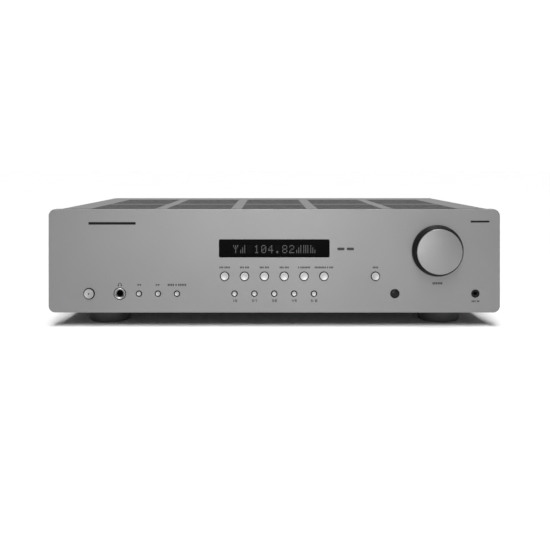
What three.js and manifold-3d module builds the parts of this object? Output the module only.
// A full-width hi-fi stereo receiver as an assembly of separate solids.
// Millimetres, +Z up, front towards -Y. The origin is on the floor, under the middle of the whole object.
import * as THREE from "three";
import { mergeVertices } from "three/addons/utils/BufferGeometryUtils.js";
import Module from "manifold-3d";

const wasm = await Module();
wasm.setup();

// ---- Driving dimensions -------------------------------------------------------------------------

const WIDTH = 430; // front panel, side to side
const DEPTH = 340; // knob face to speaker posts
const PANEL_HEIGHT = 98.5;
const FOOT_DROP = 14; // floor to the front panel's lower edge
const KNOB_REACH = 13; // how far the knob stands out of the panel
const POST_REACH = 19; // how far the speaker posts stand out of the rear panel
const GAP = 0.3; // between pieces that touch on the real object

const FACE_Y = -DEPTH / 2 + KNOB_REACH; // the front panel's outer face
const REAR_Y = DEPTH / 2 - POST_REACH; // the rear panel's outer face
const BODY_DEPTH = REAR_Y - FACE_Y;

const SHEET = 1.2; // steel sheet of the casing
const PANEL_THICKNESS = 8;
const PANEL_WALL = 4; // what is left in front of the pocket in the panel's back
const PANEL_CORNER = 6.5;
const PANEL_BEVEL = 0.7;

const BASE_Z = FOOT_DROP + 2; // underside of the chassis tray
const COVER_TOP = FOOT_DROP + PANEL_HEIGHT - 0.6;
const COVER_HALF = 208.4; // half the cover's width
const TRAY_HALF = COVER_HALF - SHEET - GAP;

// Controls, measured from the panel's middle line and its lower edge.
const PITCH = 18.92; // between neighbouring buttons
const LOWER_ROW = 18;
const UPPER_ROW = 34.6;
const KNOB_AT = [155.4, 58.9];
const DISPLAY = { z: 61.1, width: 105.3, height: 17.2, corner: 1.2 };
const POWER_X = -176.4;
const HEADPHONE_X = -147.1;
const TUNING_X = -128.9;
const MENU_X = 96.4;
const EYE_X = 114.9;
const AUX_X = 191.6;

const BOARD_AT = 14; // front board's front face, behind the panel's face
const SWITCH_AT = 10.6; // tips of its tact switches
const BUTTON_SIZES = {
  power: { cap: 4.85, hole: 5.4, flange: 6.3, stem: 1.8, front: -1.6, crown: 0.5 },
  large: { cap: 3.9, hole: 4.4, flange: 5.2, stem: 1.5, front: -1.5, crown: 0.5 },
  small: { cap: 2.3, hole: 3.0, flange: 3.9, stem: 1.2, front: -0.5, crown: 0.3 },
};
const KNOB = { base: 24.5, top: 21.9, face: 21.4, bore: 3.3, shaft: 3 };

// Vent fields in the cover, side by side, each with two banks of slots that run across it.
const VENT = {
  fields: 5,
  width: 64,
  rib: 9.9,
  slot: 5,
  pitch: 9.6,
  banks: [
    { from: 14.5, rows: 11 },
    { from: 130, rows: 13 },
  ],
};

const FINE = 40; // sides of a large round
const ROUND = 16; // sides of a small round
const COARSE = 12; // sides of a hidden or very small round

// ---- Solids ---------------------------------------------------------------------------------------

/** A closed three.js geometry as a manifold solid. */
function solid(geometry) {
  const bare = geometry.clone();
  bare.deleteAttribute("normal");
  bare.deleteAttribute("uv");
  const merged = mergeVertices(bare, 1e-4);
  return new wasm.Manifold(
    new wasm.Mesh({
      numProp: 3,
      vertProperties: merged.attributes.position.array,
      triVerts: new Uint32Array(merged.index.array),
    }),
  );
}

/** A manifold solid as a three.js geometry with flat faces. */
function geometryOf(made) {
  const mesh = made.getMesh();
  const geometry = new THREE.BufferGeometry()
    .setAttribute("position", new THREE.BufferAttribute(mesh.vertProperties, 3))
    .setIndex(new THREE.BufferAttribute(mesh.triVerts, 1))
    .toNonIndexed();
  geometry.computeVertexNormals();
  return geometry;
}

/** A box between two corners. */
function block([x0, x1], [y0, y1], [z0, z1]) {
  const box = new THREE.BoxGeometry(x1 - x0, y1 - y0, z1 - z0);
  return solid(box.translate((x0 + x1) / 2, (y0 + y1) / 2, (z0 + z1) / 2));
}

/** A rod along Y. */
function rod(radius, [y0, y1], x = 0, z = 0, sides = ROUND) {
  const cylinder = new THREE.CylinderGeometry(radius, radius, y1 - y0, sides);
  return solid(cylinder.translate(x, (y0 + y1) / 2, z));
}

/** A rod along Z. */
function post(radius, [z0, z1], x = 0, y = 0, sides = ROUND) {
  const cylinder = new THREE.CylinderGeometry(radius, radius, z1 - z0, sides);
  return solid(cylinder.rotateX(Math.PI / 2).translate(x, y, (z0 + z1) / 2));
}

/** A profile of [radius, y] points, from the lowest y to the highest, turned about the Y axis. */
function turned(profile, sides = ROUND) {
  const points = profile.map(([r, y]) => new THREE.Vector2(r, y));
  return solid(new THREE.LatheGeometry(points, sides));
}

/** The same profile turned about the Z axis, as [radius, z] points. */
function turnedUpright(profile, sides = ROUND) {
  const points = profile.map(([r, z]) => new THREE.Vector2(r, z));
  return solid(new THREE.LatheGeometry(points, sides).rotateX(Math.PI / 2));
}

/** A shape drawn in X and Z, extruded along Y. */
function prism(shape, [y0, y1], bevel = 0) {
  const extruded = new THREE.ExtrudeGeometry(shape, {
    depth: y1 - y0 - 2 * bevel,
    curveSegments: 4,
    bevelEnabled: bevel > 0,
    bevelThickness: bevel,
    bevelSize: bevel,
    bevelOffset: -bevel,
    bevelSegments: 1,
  });
  return solid(extruded.rotateX(Math.PI / 2).translate(0, y1 - bevel, 0));
}

/** A shape drawn in X and Y, extruded up Z. */
function tower(shape, [z0, z1]) {
  const extruded = new THREE.ExtrudeGeometry(shape, { depth: z1 - z0, bevelEnabled: false });
  return solid(extruded.translate(0, 0, z0));
}

/** A shape drawn in Y and Z, extruded along X. */
function slab(points, [x0, x1]) {
  const shape = new THREE.Shape(points.map(([y, z]) => new THREE.Vector2(y, z)));
  const extruded = new THREE.ExtrudeGeometry(shape, { depth: x1 - x0, bevelEnabled: false });
  const matrix = new THREE.Matrix4().set(0, 0, 1, x0, 1, 0, 0, 0, 0, 1, 0, 0, 0, 0, 0, 1);
  return solid(extruded.applyMatrix4(matrix));
}

/** A rectangle with round corners, centred on (x, z). */
function roundedRectangle(width, height, corner, x = 0, z = 0) {
  const [a, b] = [width / 2 - corner, height / 2 - corner];
  const quarter = Math.PI / 2;
  const shape = new THREE.Shape();
  [
    [a, b],
    [-a, b],
    [-a, -b],
    [a, -b],
  ].forEach(([cx, cz], i) =>
    shape.absarc(x + cx, z + cz, corner, i * quarter, (i + 1) * quarter, false),
  );
  return shape;
}

const join = (first, ...rest) => rest.reduce((sum, s) => sum.add(s), first);
const cut = (first, ...rest) => rest.reduce((sum, s) => sum.subtract(s), first);

// ---- Materials ------------------------------------------------------------------------------------

const finish = (color, roughness, metalness) =>
  new THREE.MeshStandardMaterial({ color, roughness, metalness });

const FINISH = {
  satinAluminium: finish(0xa6a6a6, 0.45, 0.9),
  brightAluminium: finish(0xdcdcdc, 0.35, 0.9),
  greyPaint: finish(0xa0a0a0, 0.55, 0.3),
  blackPlastic: finish(0x141414, 0.5, 0),
  glossBlack: finish(0x060606, 0.08, 0),
  rubber: finish(0x101010, 0.85, 0),
  zincSteel: finish(0xb8b8b4, 0.35, 0.9),
  nickel: finish(0xd0cdc4, 0.22, 1),
  redPlastic: finish(0x9a1414, 0.4, 0),
  whitePlastic: finish(0xe4e4e0, 0.45, 0),
  board: finish(0x1c5a34, 0.5, 0),
  copperTape: finish(0x8a6a1e, 0.45, 0.2),
  darkFins: finish(0x1a1a1a, 0.5, 0.7),
};

/** A named mesh of one solid. */
function piece(name, made, material, position = [0, 0, 0]) {
  const mesh = new THREE.Mesh(geometryOf(made), material);
  mesh.name = name;
  mesh.position.set(...position);
  return mesh;
}

function group(position, ...children) {
  const made = new THREE.Group();
  made.position.set(...position);
  made.add(...children);
  return made;
}

// ---- Where the buttons are --------------------------------------------------------------------------

const row = (name, count, size, x, z) =>
  Array.from({ length: count }, (_, i) => ({
    name: `${name}_${i + 1}`,
    size: BUTTON_SIZES[size],
    x: x + i * PITCH,
    z,
  }));

const BUTTONS = [
  { name: "power_button", size: BUTTON_SIZES.power, x: POWER_X, z: LOWER_ROW },
  ...["tune_down_button", "tune_up_button", "mode_button"].map((name, i) => ({
    name,
    size: BUTTON_SIZES.small,
    x: TUNING_X + i * 18.1,
    z: LOWER_ROW,
  })),
  ...row("input_button", 6, "large", -2.5 * PITCH, UPPER_ROW),
  { name: "menu_button", size: BUTTON_SIZES.large, x: MENU_X, z: UPPER_ROW },
  ...row("preset_button", 5, "small", -2 * PITCH, LOWER_ROW),
];

// ---- Front: y counts back from the panel's face, z up from its lower edge -----------------------------

function frontPanel() {
  const outline = roundedRectangle(WIDTH, PANEL_HEIGHT, PANEL_CORNER, 0, PANEL_HEIGHT / 2);
  const plate = prism(outline, [0, PANEL_THICKNESS], PANEL_BEVEL);
  const through = [-1, PANEL_THICKNESS + 1];
  const window = roundedRectangle(DISPLAY.width, DISPLAY.height, DISPLAY.corner, 0, DISPLAY.z);
  return cut(
    plate,
    block([-204, 204], [PANEL_WALL, PANEL_THICKNESS + 1], [7, 91.5]),
    prism(window, through),
    rod(5.9, through, HEADPHONE_X, LOWER_ROW, ROUND),
    rod(4.4, through, EYE_X, LOWER_ROW, ROUND),
    rod(3.9, through, AUX_X, LOWER_ROW, ROUND),
    rod(5, through, ...KNOB_AT),
    ...BUTTONS.map((b) => rod(b.size.hole, through, b.x, b.z, ROUND)),
  );
}

function displayWindow() {
  const [w, h] = [DISPLAY.width - 2 * GAP, DISPLAY.height - 2 * GAP];
  return join(
    prism(roundedRectangle(w, h, DISPLAY.corner - GAP, 0, DISPLAY.z), [0.4, PANEL_WALL + 1]),
    block([-w / 2 - 3, w / 2 + 3], [PANEL_WALL + GAP, PANEL_WALL + 1.8], [
      DISPLAY.z - h / 2 - 2.5,
      DISPLAY.z + h / 2 + 2.5,
    ]),
  );
}

/** Crowned cap, a flange that stops it behind the panel, and a stem that reaches its switch. */
function button({ cap, flange, stem, front, crown }) {
  const stop = PANEL_WALL + GAP;
  const end = SWITCH_AT - 1.1;
  return turned(
    [
      [0, front],
      [cap * 0.82, front + crown * 0.5],
      [cap, front + crown * 1.5],
      [cap, stop],
      [flange, stop],
      [flange, stop + 1],
      [stem, stop + 1],
      [stem, end],
      [0, end],
    ],
    COARSE,
  );
}

/** Cone-sided hollow body with a boss that takes the shaft. */
function knobBody() {
  const { base, top, bore } = KNOB;
  return turned(
    [
      [0, -10.4],
      [top, -10.4],
      [base, -2.4],
      [base, -0.8],
      [base - 2.2, -0.8],
      [top - 2.4, -8.4],
      [6, -8.4],
      [6, -1.2],
      [bore, -1.2],
      [bore, -8.9],
      [0, -8.9],
    ],
    FINE,
  );
}

function knobCap() {
  const { face } = KNOB;
  return turned(
    [
      [0, -KNOB_REACH],
      [face - 0.7, -KNOB_REACH],
      [face, -KNOB_REACH + 0.7],
      [face, -10.4 - GAP],
      [0, -10.4 - GAP],
    ],
    FINE,
  );
}

function encoderBody() {
  const back = BOARD_AT - GAP;
  return cut(
    join(block([-6.5, 6.5], [7, back], [-6.5, 6.5]), rod(4.6, [0.6, 8])),
    rod(KNOB.bore, [0, 11]),
  );
}

/** A socket: round nose in the panel, a body behind it, and a blind bore for the plug. */
function socket({ nose, lip, bore, depth, half, body }) {
  const chamfer = 0.5;
  const outer = turned(
    [
      [0, -lip],
      [nose - chamfer, -lip],
      [nose, -lip + chamfer],
      [nose, body[0] + 1],
      [0, body[0] + 1],
    ],
    ROUND,
  );
  const box = block([-half, half], body, [-half, half]);
  return cut(join(outer, box), rod(bore, [-lip - 1, depth], 0, 0, ROUND));
}

const headphoneJack = () =>
  socket({ nose: 5.6, lip: 0.6, bore: 3.25, depth: 28, half: 7, body: [6.4, 31] });
const auxJack = () =>
  socket({ nose: 3.6, lip: 0.2, bore: 1.8, depth: 14, half: 4, body: [6.4, 19] });

/** Smoked lens over the remote control receiver. */
const eyeLens = () =>
  turned([
    [0, -0.3],
    [2.4, -0.1],
    [4.1, 0.5],
    [4.1, PANEL_WALL + GAP],
    [5.2, PANEL_WALL + GAP],
    [5.2, PANEL_WALL + 1.5],
    [0, PANEL_WALL + 1.5],
  ]);

/** Board with a switch behind each button, notched round the two sockets. */
function frontBoard() {
  const board = block([-192, 201], [BOARD_AT, BOARD_AT + 1.6], [7, 90]);
  const switches = BUTTONS.map(({ x, z }) =>
    join(
      block([x - 3, x + 3], [BOARD_AT - 2.4, BOARD_AT + 0.5], [z - 3, z + 3]),
      rod(1.7, [SWITCH_AT, BOARD_AT], x, z, 10),
    ),
  );
  const notches = [
    [HEADPHONE_X, 7],
    [AUX_X, 4],
  ].map(([x, half]) => block([x - half - 1, x + half + 1], [0, 30], [0, LOWER_ROW + half + 1]));
  const displayHole = block([-40, 40], [0, 30], [DISPLAY.z - 4, DISPLAY.z + 4]);
  return cut(join(cut(board, ...notches), ...switches), displayHole);
}

/** Glass display cell with its thin frame, in front of the board. */
const displayModule = () =>
  join(
    block([-50, 50], [7.2, 12.2], [DISPLAY.z - 10, DISPLAY.z + 10]),
    block([-46, 46], [6.4, 7.2], [DISPLAY.z - 7, DISPLAY.z + 7]),
    block([-36, 36], [12.2, BOARD_AT - GAP], [DISPLAY.z - 9, DISPLAY.z + 9]),
  );

function front() {
  const [knobX, knobZ] = KNOB_AT;
  return group(
    [0, FACE_Y, FOOT_DROP],
    piece("front_panel", frontPanel(), FINISH.satinAluminium),
    piece("display_window", displayWindow(), FINISH.glossBlack),
    piece("display_module", displayModule(), FINISH.blackPlastic),
    piece("front_board", frontBoard(), FINISH.board),
    ...BUTTONS.map(({ name, size, x, z }) =>
      piece(name, button(size), FINISH.brightAluminium, [x, 0, z]),
    ),
    group(
      [knobX, 0, knobZ],
      piece("volume_knob_body", knobBody(), FINISH.blackPlastic),
      piece("volume_knob_cap", knobCap(), FINISH.satinAluminium),
      piece("encoder_shaft", rod(KNOB.shaft, [-8.6, 10.4]), FINISH.zincSteel),
      piece("encoder_body", encoderBody(), FINISH.blackPlastic),
    ),
    piece("headphone_jack", headphoneJack(), FINISH.nickel, [HEADPHONE_X, 0, LOWER_ROW]),
    piece("aux_jack", auxJack(), FINISH.blackPlastic, [AUX_X, 0, LOWER_ROW]),
    piece("remote_eye", eyeLens(), FINISH.glossBlack, [EYE_X, 0, LOWER_ROW]),
  );
}

// ---- Casing: y counts back from the panel's face, z up from the floor --------------------------------

const INNER_FRONT = PANEL_THICKNESS + GAP; // where the steelwork starts
const FOOT_X = 165;
const FOOT_Y = [44, 268];

/** Bottom sheet with low lips, bottom vents, and two cheeks that carry the front panel. */
function chassisTray() {
  const back = BODY_DEPTH - SHEET - GAP;
  const [left, right] = [-TRAY_HALF, TRAY_HALF];
  const lip = [BASE_Z, BASE_Z + 20];
  const cheek = [BASE_Z, COVER_TOP - SHEET - 1];
  const tray = join(
    block([left, right], [INNER_FRONT, back], [BASE_Z, BASE_Z + SHEET]),
    block([left, right], [INNER_FRONT, INNER_FRONT + SHEET], [BASE_Z, BASE_Z + 7]),
    ...[left, right - SHEET].flatMap((x) => [
      block([x, x + SHEET], [INNER_FRONT, back], lip),
      block([x, x + SHEET], [INNER_FRONT, INNER_FRONT + 32], cheek),
    ]),
    ...[left, right - 10].map((x) =>
      block([x, x + 10], [INNER_FRONT, INNER_FRONT + SHEET], cheek),
    ),
  );
  const bottomVents = Array.from({ length: 14 }, (_, i) => {
    const x = -58 + i * 12;
    return block([x, x + 4], [110, 160], [BASE_Z - 1, BASE_Z + 3]);
  });
  return cut(tray, ...bottomVents);
}

/** Slots of all the vent fields, each as its [left, right] and [front, back]. */
function ventSlots() {
  const { fields, width, rib, slot, pitch, banks } = VENT;
  const first = -(fields * width + (fields - 1) * rib) / 2;
  const fronts = banks.flatMap(({ from, rows }) =>
    Array.from({ length: rows }, (_, i) => from + i * pitch),
  );
  return Array.from({ length: fields }, (_, i) => first + i * (width + rib)).flatMap((left) =>
    fronts.map((front) => [
      [left, left + width],
      [front, front + slot],
    ]),
  );
}

/** Folded lid: top with its vents, two sides, and a lip over the rear panel. */
function topCover() {
  const under = COVER_TOP - SHEET;
  const sides = [BASE_Z + GAP, COVER_TOP];
  const length = [INNER_FRONT, BODY_DEPTH];
  const lipBack = BODY_DEPTH + GAP + SHEET;
  const cover = join(
    block([-COVER_HALF, COVER_HALF], [INNER_FRONT, lipBack], [under, COVER_TOP]),
    block([-COVER_HALF, -COVER_HALF + SHEET], length, sides),
    block([COVER_HALF - SHEET, COVER_HALF], length, sides),
    block([-200, 200], [BODY_DEPTH + GAP, lipBack], [COVER_TOP - 9, COVER_TOP]),
  );
  const vents = ventSlots().map(([x, y]) => block(x, y, [under - 1, COVER_TOP + 1]));
  return cut(cover, ...vents);
}

/** Low tapered foot with a flat sole. */
const foot = () =>
  turnedUpright(
    [
      [0, 0],
      [18.5, 0],
      [19.5, 1],
      [22, BASE_Z - GAP - 3],
      [22, BASE_Z - GAP],
      [0, BASE_Z - GAP],
    ],
    20,
  );

function casing() {
  const feet = ["left", "right"].flatMap((side) =>
    ["front", "rear"].map((end) => {
      const x = side === "left" ? -FOOT_X : FOOT_X;
      const y = end === "front" ? FOOT_Y[0] : FOOT_Y[1];
      return piece(`foot_${end}_${side}`, foot(), FINISH.rubber, [x, y, 0]);
    }),
  );
  return group(
    [0, FACE_Y, 0],
    piece("chassis_tray", chassisTray(), FINISH.zincSteel),
    piece("top_cover", topCover(), FINISH.greyPaint),
    ...feet,
  );
}

// ---- Inside: the same frame as the casing --------------------------------------------------------------

const FLOOR_Z = BASE_Z + SHEET + GAP; // where things stand in the tray

/** Ring core wound and taped, standing on the tray. */
function toroid() {
  const [inner, outer, low, high, soft] = [19, 59, FLOOR_Z, FLOOR_Z + 50, 9];
  return turnedUpright(
    [
      [inner, low + 5],
      [inner + 5, low],
      [outer - soft, low],
      [outer, low + soft],
      [outer, high - soft],
      [outer - soft, high],
      [inner + 5, high],
      [inner, high - 5],
      [inner, low + 5],
    ],
    28,
  );
}

/** Dished plate and bolt that hold the transformer down. */
const toroidClamp = () =>
  join(
    turnedUpright([
      [0, FLOOR_Z + 50 + GAP],
      [34, FLOOR_Z + 50 + GAP],
      [36, FLOOR_Z + 52],
      [12, FLOOR_Z + 52.5],
      [0, FLOOR_Z + 52.5],
    ]),
    post(4, [FLOOR_Z, FLOOR_Z + 58], 0, 0, 6),
  );

/** Extruded comb of vertical fins on a thick back. */
function heatsink() {
  const [left, count, step, thick, reach, back] = [-62, 17, 10.5, 2.2, 34, 6];
  const right = left + (count - 1) * step + thick;
  const outline = [[right, 0], [right, back], [left, back], [left, 0]];
  for (let i = 0; i < count; i++) {
    const x = left + i * step;
    outline.push([x, -reach], [x + thick, -reach]);
    if (i < count - 1) outline.push([x + thick, 0], [x + step, 0]);
  }
  const points = outline.filter(([x, y], i) => !(i === 3 || (x === right && y === 0 && i > 0)));
  const shape = new THREE.Shape(points.map(([x, y]) => new THREE.Vector2(x, y)));
  return tower(shape, [FLOOR_Z, FLOOR_Z + 66]);
}

/** Amplifier board on four stand-offs. */
function amplifierBoard() {
  const [x, y, z] = [[-70, 142], [162, 288], [FLOOR_Z + 8, FLOOR_Z + 9.6]];
  const legs = [x[0] + 8, x[1] - 8].flatMap((px) =>
    [y[0] + 8, y[1] - 8].map((py) => post(3, [FLOOR_Z, z[0] + 0.5], px, py, 6)),
  );
  return join(block(x, y, z), ...legs);
}

const reservoirCapacitor = () =>
  turnedUpright([
    [0, 0],
    [14, 0],
    [15, 1],
    [15, 44],
    [14, 45],
    [0, 45],
  ]);

/** Screened tuner can. */
const tunerCan = () => block([-27, 27], [-20, 20], [0, 15]);

function inside() {
  const boardTop = FLOOR_Z + 9.6 + GAP;
  return group(
    [0, FACE_Y, 0],
    group(
      [-130, 100, 0],
      piece("transformer", toroid(), FINISH.copperTape),
      piece("transformer_clamp", toroidClamp(), FINISH.zincSteel),
    ),
    piece("heatsink", heatsink(), FINISH.darkFins, [0, 150, 0]),
    piece("amplifier_board", amplifierBoard(), FINISH.board),
    piece("reservoir_capacitor_1", reservoirCapacitor(), FINISH.blackPlastic, [-42, 192, boardTop]),
    piece("reservoir_capacitor_2", reservoirCapacitor(), FINISH.blackPlastic, [-4, 192, boardTop]),
    piece("tuner_module", tunerCan(), FINISH.zincSteel, [172, 262, FLOOR_Z]),
  );
}

// ---- Rear: y counts out from the rear panel's face, z up from the floor --------------------------------

const INLET_AT = [-176, 46];
const SWITCH_CENTRE = [-176, 84];
const POST_PAIRS = [-72.5, -23.5]; // middles of the two speaker outputs
const POST_APART = 19;
const POST_ROWS = [48, 82];
const RCA = { x: 38, columns: 7, step: 15, rows: [44, 62] };
const OPTICAL_AT = [[96, 92], [112, 92]];
const COAXIAL_AT = [128, 92];
const AERIAL_AT = [188, 92];
const CLIPS_AT = [176, 62];
const GROUND_AT = [152, 42];

const rcaPlaces = () =>
  RCA.rows.flatMap((z) =>
    Array.from({ length: RCA.columns }, (_, i) => [RCA.x + i * RCA.step, z]),
  );

function rearPanel() {
  const through = [-3, 1];
  const [inletX, inletZ] = INLET_AT;
  const [switchX, switchZ] = SWITCH_CENTRE;
  return cut(
    block([-TRAY_HALF, TRAY_HALF], [-SHEET, 0], [BASE_Z, COVER_TOP - SHEET - 1]),
    block([inletX - 14.4, inletX + 14.4], through, [inletZ - 10.6, inletZ + 10.6]),
    block([switchX - 6.8, switchX + 6.8], through, [switchZ - 10, switchZ + 10]),
    ...behindPosts(8, through),
    ...rcaPlaces().map(([x, z]) => rod(5.4, through, x, z, COARSE)),
    ...OPTICAL_AT.map(([x, z]) => block([x - 5.4, x + 5.4], through, [z - 5.4, z + 5.4])),
    rod(5.4, through, ...COAXIAL_AT, COARSE),
    rod(6.2, through, ...AERIAL_AT, COARSE),
    block([CLIPS_AT[0] - 11.4, CLIPS_AT[0] + 11.4], through, [CLIPS_AT[1] - 10.4, CLIPS_AT[1] + 10.4]),
    rod(2.4, through, ...GROUND_AT, COARSE),
  );
}

/** Mains inlet with a flange, an open shroud and three blades. */
function mainsInlet() {
  const flange = roundedRectangle(50, 24, 4);
  const cavity = new THREE.Shape(
    [[-12.3, -8.4], [12.3, -8.4], [12.3, 3.6], [8, 8.4], [-8, 8.4], [-12.3, 3.6]].map(
      ([x, z]) => new THREE.Vector2(x, z),
    ),
  );
  const blades = [[-7, -1.6], [7, -1.6], [0, 3.4]].map(([x, z]) =>
    block([x - 1, x + 1], [-17, -4.5], [z - 2, z + 2]),
  );
  const shell = join(
    prism(flange, [GAP, 2.6], 0.4),
    block([-14, 14], [-20, 1], [-10.2, 10.2]),
  );
  return join(cut(shell, prism(cavity, [-16, 4])), ...blades);
}

/** Frame of the mains switch, with a well that the rocker turns in. */
const switchHousing = () =>
  cut(
    join(
      prism(roundedRectangle(17, 23.4, 1.5), [GAP, 2.4], 0.3),
      block([-6.4, 6.4], [-17, 1], [-9.7, 9.7]),
    ),
    block([-5.2, 5.2], [-8, 5], [-9, 9]),
  );

/** Rocker with a shallow V face and round ends about its pivot, drawn one way down. */
function rocker() {
  const [radius, faceY, middleY, bottomY, tilt] = [8.6, 4.6, 3.1, -2, 8];
  const reach = (y) => Math.sqrt(radius ** 2 - y ** 2);
  const end = [1, 0, -1].map((t) => [2.3 * t + 0.3, reach(2.3 * t + 0.3)]);
  const outline = [
    [middleY, 0],
    [faceY, -reach(faceY)],
    ...end.map(([y, z]) => [y, -z]),
    [bottomY, -reach(bottomY)],
    [bottomY, reach(bottomY)],
    ...[...end].reverse(),
    [faceY, reach(faceY)],
  ];
  const shape = slab(outline.reverse(), [-4.8, 4.8]);
  const turn = new THREE.Matrix4().makeRotationX(THREE.MathUtils.degToRad(tilt));
  return shape.transform(turn.toArray());
}

const postPlaces = () =>
  POST_ROWS.flatMap((z) =>
    POST_PAIRS.flatMap((x) => [-0.5, 0.5].map((side) => [x + side * POST_APART, z])),
  );

/** A block behind each pair of posts, as far round them as told. */
const behindPosts = (margin, y) =>
  POST_PAIRS.map((x) =>
    block([x - POST_APART / 2 - margin, x + POST_APART / 2 + margin], y, [
      POST_ROWS[0] - margin,
      POST_ROWS[1] + margin,
    ]),
  );

/** Insulated base with collars and hollow metal posts for the speaker leads. */
function terminalBase() {
  const plate = block([-93, -3], [GAP, 2.6], [POST_ROWS[0] - 11, POST_ROWS[1] + 11]);
  const posts = postPlaces().flatMap(([x, z]) => [
    rod(7.2, [1, 4.2], x, z, COARSE),
    rod(3.1, [1, 17], x, z, COARSE),
  ]);
  const bores = postPlaces().map(([x, z]) => rod(2.05, [2, 18], x, z, 8));
  return cut(join(plate, ...behindPosts(7, [-9, 1]), ...posts), ...bores);
}

/** Fluted screw cap of a speaker post. */
function postCap() {
  const flutes = 8;
  const shape = new THREE.Shape(
    Array.from({ length: flutes * 2 }, (_, i) => {
      const angle = (i * Math.PI) / flutes;
      const radius = i % 2 ? 6.1 : 6.8;
      return new THREE.Vector2(radius * Math.cos(angle), radius * Math.sin(angle));
    }),
  );
  const skirt = rod(6.9, [4.6, 6.6], 0, 0, COARSE);
  return cut(join(prism(shape, [6, POST_REACH]), skirt), rod(3.5, [4, POST_REACH + 1], 0, 0, COARSE));
}

/** Row of phono sockets moulded to one block behind the panel. */
function phonoBlock() {
  const places = rcaPlaces();
  const right = RCA.x + (RCA.columns - 1) * RCA.step;
  const shells = places.flatMap(([x, z]) => [
    rod(5, [-6, 1.6], x, z, COARSE),
    rod(4.1, [1, 9.5], x, z, COARSE),
  ]);
  const bores = places.map(([x, z]) => rod(1.7, [0, 10], x, z, 8));
  const body = block([RCA.x - 7, right + 7], [-14, -1.8], [RCA.rows[0] - 8, RCA.rows[1] + 8]);
  return cut(join(body, ...shells), ...bores);
}

/** Two optical sockets and a coaxial one on a common block. */
function digitalBlock() {
  const [x, z] = COAXIAL_AT;
  const left = OPTICAL_AT[0][0] - 7;
  const opticals = OPTICAL_AT.map(([ox, oz]) => block([ox - 5, ox + 5], [-3, 2.4], [oz - 5, oz + 5]));
  const wells = OPTICAL_AT.map(([ox, oz]) => block([ox - 3.4, ox + 3.4], [1.2, 4], [oz - 3.4, oz + 3.4]));
  return cut(
    join(
      block([left, x + 7], [-14, -1.8], [z - 7, z + 7]),
      rod(5, [-6, 1.6], x, z, COARSE),
      rod(4.1, [1, 9.5], x, z, COARSE),
      ...opticals,
    ),
    ...wells,
    rod(1.7, [0, 10], x, z, 8),
  );
}

/** Threaded aerial socket. */
const aerialSocket = () =>
  cut(
    join(rod(5.8, [-9, 1.8], 0, 0, 6), rod(4.7, [1, 11], 0, 0, ROUND)),
    rod(1.2, [3, 12], 0, 0, 8),
  );

/** Housing of the two spring clips for the loop aerial. */
function clipHousing() {
  const pockets = [-5.3, 5.3].flatMap((x) => [
    block([x - 3.6, x + 3.6], [1.5, 9], [-3.4, 8.8]),
    block([x - 2.2, x + 2.2], [1.5, 9], [-8.4, -4.4]),
  ]);
  return cut(
    join(
      block([-11, 11], [-8, 5.6], [-10, 10]),
      block([-13.5, 13.5], [GAP, 1.8], [-12.5, 12.5]),
    ),
    ...pockets,
  );
}

/** Spring clip's lever, hinged at the top of its pocket. */
const clipLever = () =>
  slab([[0.9, 1], [2.4, -0.9], [6, -7.4], [4.6, -8.2], [-0.4, -1.2], [-0.9, 0.4]], [-3, 3]);

/** Knurled thumb screw with its shank. */
const groundScrew = () =>
  join(
    rod(5.2, [2.2, 8.4], 0, 0, 12),
    rod(4.2, [1, 3], 0, 0, 12),
    rod(2, [-7, 2.5], 0, 0, 12),
  );

function rear() {
  const at = ([x, z], y = 0) => [x, y, z];
  const caps = postPlaces().map(([x, z], i) => {
    const colour = i % 2 ? FINISH.redPlastic : FINISH.blackPlastic;
    return piece(`speaker_cap_${i + 1}`, postCap(), colour, [x, 0, z]);
  });
  const levers = [-5.3, 5.3].map((x, i) =>
    piece(`aerial_clip_lever_${i + 1}`, clipLever(), FINISH.whitePlastic, [
      CLIPS_AT[0] + x,
      3.4,
      CLIPS_AT[1] + 6.4,
    ]),
  );
  return group(
    [0, REAR_Y, 0],
    piece("rear_panel", rearPanel(), FINISH.blackPlastic),
    piece("mains_inlet", mainsInlet(), FINISH.blackPlastic, at(INLET_AT)),
    piece("switch_housing", switchHousing(), FINISH.blackPlastic, at(SWITCH_CENTRE)),
    piece("power_rocker", rocker(), FINISH.blackPlastic, at(SWITCH_CENTRE, -1)),
    piece("speaker_terminal_base", terminalBase(), FINISH.blackPlastic),
    ...caps,
    piece("phono_socket_block", phonoBlock(), FINISH.nickel),
    piece("digital_socket_block", digitalBlock(), FINISH.blackPlastic),
    piece("aerial_socket", aerialSocket(), FINISH.nickel, at(AERIAL_AT)),
    piece("aerial_clip_housing", clipHousing(), FINISH.blackPlastic, at(CLIPS_AT)),
    ...levers,
    piece("ground_screw", groundScrew(), FINISH.nickel, at(GROUND_AT)),
  );
}

const receiver = group([0, 0, 0], front(), casing(), inside(), rear());
receiver.name = "stereo_receiver";
export default receiver;
